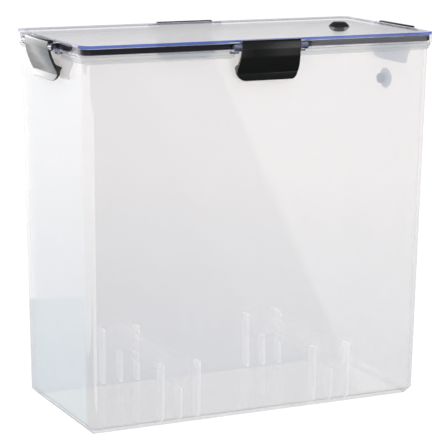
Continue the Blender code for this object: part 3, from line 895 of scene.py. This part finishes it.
def latch_mesh(mat):
    """The side outline made wide, with its barrel and bore, cut to the flared front outline."""
    outline = [(LATCH_AXIS_OUTBOARD - o, z - LATCH_AXIS_HEIGHT) for o, z in latch_outline()]
    half = LATCH_WIDTH / 2
    wide = half + LATCH_FLARE
    bm = bmesh.new()
    extruded(bm, outline, -wide, wide)
    latch = add_object("latch_shape", bm)
    barrel = bmesh.new()
    along_x(barrel, KNUCKLE_RADIUS, -KNUCKLE_WIDTH / 2, KNUCKLE_WIDTH / 2)
    combine(latch, barrel, "UNION")
    bore = bmesh.new()
    along_x(bore, PIN_HOLE_RADIUS, -wide, wide)
    combine(latch, bore, "DIFFERENCE")

    stencil = bmesh.new()
    low = min(z for _, z in outline) - 0.05 * MM
    high = max(z for _, z in outline) + 5 * MM
    flare_top = FLARE_TOP - LATCH_AXIS_HEIGHT
    flare_bottom = FLARE_BOTTOM - LATCH_AXIS_HEIGHT
    front = [(half, high), (-half, high), (-half, flare_top), (-wide, flare_bottom)]
    front += arc((-wide + LATCH_CORNER, low + LATCH_CORNER), LATCH_CORNER, 180, 270, 14)
    front += arc((wide - LATCH_CORNER, low + LATCH_CORNER), LATCH_CORNER, 270, 360, 14)
    front += [(wide, flare_bottom), (half, flare_top)]
    loft(stencil, [[Vector((x, y, z)) for x, z in front] for y in (-20 * MM, 20 * MM)])
    combine(latch, stencil, "INTERSECT")
    round_edges(latch, 0.35 * MM, 3, 50)
    settle(latch)
    return shared_mesh(latch, mat, 40)


def pin_mesh(mat):
    edge = 0.25 * MM
    profile = [(PIN_RADIUS - edge, -PIN_REACH), (PIN_RADIUS, -PIN_REACH + edge)]
    profile += [(PIN_RADIUS, PIN_REACH - edge), (PIN_RADIUS - edge, PIN_REACH)]
    bm = bmesh.new()
    turned(bm, profile, 32)
    moved(bm, 0, Matrix.Rotation(math.pi / 2, 4, "Y"))
    return shared_mesh(add_object("pin_shape", bm), mat, 35)


def make_latches(mat, pin_mat):
    shape = latch_mesh(mat)
    pin_shape = pin_mesh(pin_mat)
    for side, turn, half_size in SIDES:
        axis = Matrix.Translation((0, -LATCH_AXIS_OUTBOARD, LATCH_AXIS_HEIGHT))
        place = side_matrix(turn, half_size) @ axis
        latch = bpy.data.objects.new(f"{side}_latch_arm", shape)
        pin = bpy.data.objects.new(f"{side}_hinge_pin", pin_shape)
        for obj, node, body, slot in ((latch, f"{side}_latch", f"{side}_latch", "black_plastic"),
                                      (pin, f"{side}_latch_pin", "lid", "dark_steel")):
            bpy.context.scene.collection.objects.link(obj)
            obj.matrix_world = place
            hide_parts(node)
            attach(obj, body)


# ---------------------------------------------------------------- plugs

def plug_mesh(name, mat):
    """Rubber plug with its head's underside just above the origin and its stem along -Z."""
    head = 8.2
    stem_profile = [(3.2, -6.0), (3.7, -5.7), (4.0, -5.2), (4.0, 0.3)]
    rim_profile = [(head - 0.1, 0.3), (head, 0.4), (head, 0.65), (head - 0.15, 0.85)]
    crown_profile = [(head - 1.4, 2.0), (5.6, 3.15), (4.9, 3.5), (4.4, 3.64), (3.9, 3.7)]
    profile = stem_profile + rim_profile + crown_profile
    bm = bmesh.new()
    turned(bm, [(r * MM, z * MM) for r, z in profile])
    plug = add_object(name, bm)
    plug.data.materials.append(mat)
    shade(plug, 50)
    return plug


def make_plugs(mat):
    lid_low, lid_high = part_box("lid_plug")
    side_low, side_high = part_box("side_plug")
    stem = 6.0 * MM
    lid_place = Matrix.Translation(((lid_low.x + lid_high.x) / 2, 0, lid_low.z + stem))
    side_place = Matrix.Translation((side_low.x + stem, 0, (side_low.z + side_high.z) / 2))
    side_place = side_place @ Matrix.Rotation(math.pi / 2, 4, "Y")
    for node, place in (("lid_plug", lid_place), ("side_plug", side_place)):
        plug = plug_mesh(f"{node}_rubber", mat)
        plug.matrix_world = place
        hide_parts(node)
        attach(plug, node)


# ---------------------------------------------------------------- rollers

def lengthwise(name, node, body, profile, x, mat, closed=False):
    """Turn a profile of (radius, y) about a roller axis."""
    bm = bmesh.new()
    turned(bm, profile, closed=closed)
    bmesh.ops.transform(bm, matrix=Matrix.Rotation(-math.pi / 2, 4, "X"), verts=bm.verts)
    obj = add_object(name, bm)
    obj.location = (x, 0, ROLLER_HEIGHT)
    obj.data.materials.append(mat)
    shade(obj, 40)
    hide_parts(node)
    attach(obj, body)


def softened(profile, radius):
    """A closed profile with every corner rounded."""
    return rounded_outline([(r, z, radius) for r, z in profile], 3)


def make_rollers(mat):
    for side, x in (("left", -ROLLER_X), ("right", ROLLER_X)):
        low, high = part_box(f"{side}_axle")
        axle_radius = (high.x - low.x) / 2
        bore = axle_radius + 0.3 * MM
        edge = 0.5 * MM
        axle = [(axle_radius - edge, low.y), (axle_radius, low.y + edge),
                (axle_radius, high.y - edge), (axle_radius - edge, high.y)]
        lengthwise(f"{side}_axle_rod", f"{side}_axle", "tub", axle, x, mat)
        for end in ("front", "back"):
            node = f"{side}_{end}_bush"
            low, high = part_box(node)
            radius = (high.x - low.x) / 2
            bush = [(bore, low.y), (radius, low.y), (radius, high.y), (bore, high.y)]
            lengthwise(f"{node}_ring", node, "tub", softened(bush, 0.6 * MM), x, mat, closed=True)
            node = f"{side}_{end}_roller"
            low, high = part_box(node)
            radius = (high.x - low.x) / 2
            waist = radius - 2 * MM
            tread = 10 * MM
            slope = 2 * MM
            roller = [(bore, low.y), (radius, low.y)]
            roller += [(radius, low.y + tread), (waist, low.y + tread + slope)]
            roller += [(waist, high.y - tread - slope), (radius, high.y - tread)]
            roller += [(radius, high.y), (bore, high.y)]
            lengthwise(f"{node}_sleeve", node, node, softened(roller, 0.9 * MM), x, mat, closed=True)


# ---------------------------------------------------------------- build

def main():
    make_camera()
    make_studio()
    warm = (1.0, 0.97, 0.918)
    frosted = milky_material("frosted_polypropylene", (0.79, 0.85, 0.98), warm, 0.27, 0.05)
    # thick: the flange's thicker plastic scatters more, and its darker grey is painted shade.
    thick = milky_material("thick_polypropylene_painted_shade", (0.56, 0.60, 0.63), warm, 0.62, 0.10)
    # ribs: a whiter, cloudier copy of the wall plastic, painted light that shows the ribs as pale stripes
    # through the wall.
    ribs = milky_material("rib_polypropylene_painted_light", (0.97, 0.98, 1.0), (1.0, 1.0, 1.0), 0.75)
    white = milky_material("natural_polypropylene", (0.97, 0.98, 1.0), (1.0, 1.0, 1.0), 0.13)
    clear = skin_material("clear_lid_plastic", (0.98, 0.98, 1.0), (0.70, 0.70, 0.76), 0.004, 0.02)
    panel = skin_material("lid_panel_plastic", (0.99, 0.98, 1.0), (0.72, 0.69, 0.76), 0.12, 0.02)
    # blue_edge and pale_edge are painted refraction: the dark blue and the paler lilac that the clear lid's
    # rounded edge shows at the front and on the other sides.
    blue_edge = skin_material("edge_painted_blue_refraction", (0.40, 0.50, 0.90), (0.06, 0.11, 0.38), 0.70, 0.06)
    pale_edge = skin_material("edge_painted_pale_refraction", (0.80, 0.80, 0.88), (0.34, 0.34, 0.46), 0.45, 0.06)
    lugs = clear_material("clear_lug_plastic", (0.62, 0.66, 0.88), 0.04)
    make_tub(frosted, ribs, thick)
    make_lid(clear, blue_edge, lugs, pale_edge, panel)
    make_gasket(silicone_material())
    make_latches(black_plastic_material(), steel_material())
    make_plugs(rubber_material())
    make_rollers(white)


main()
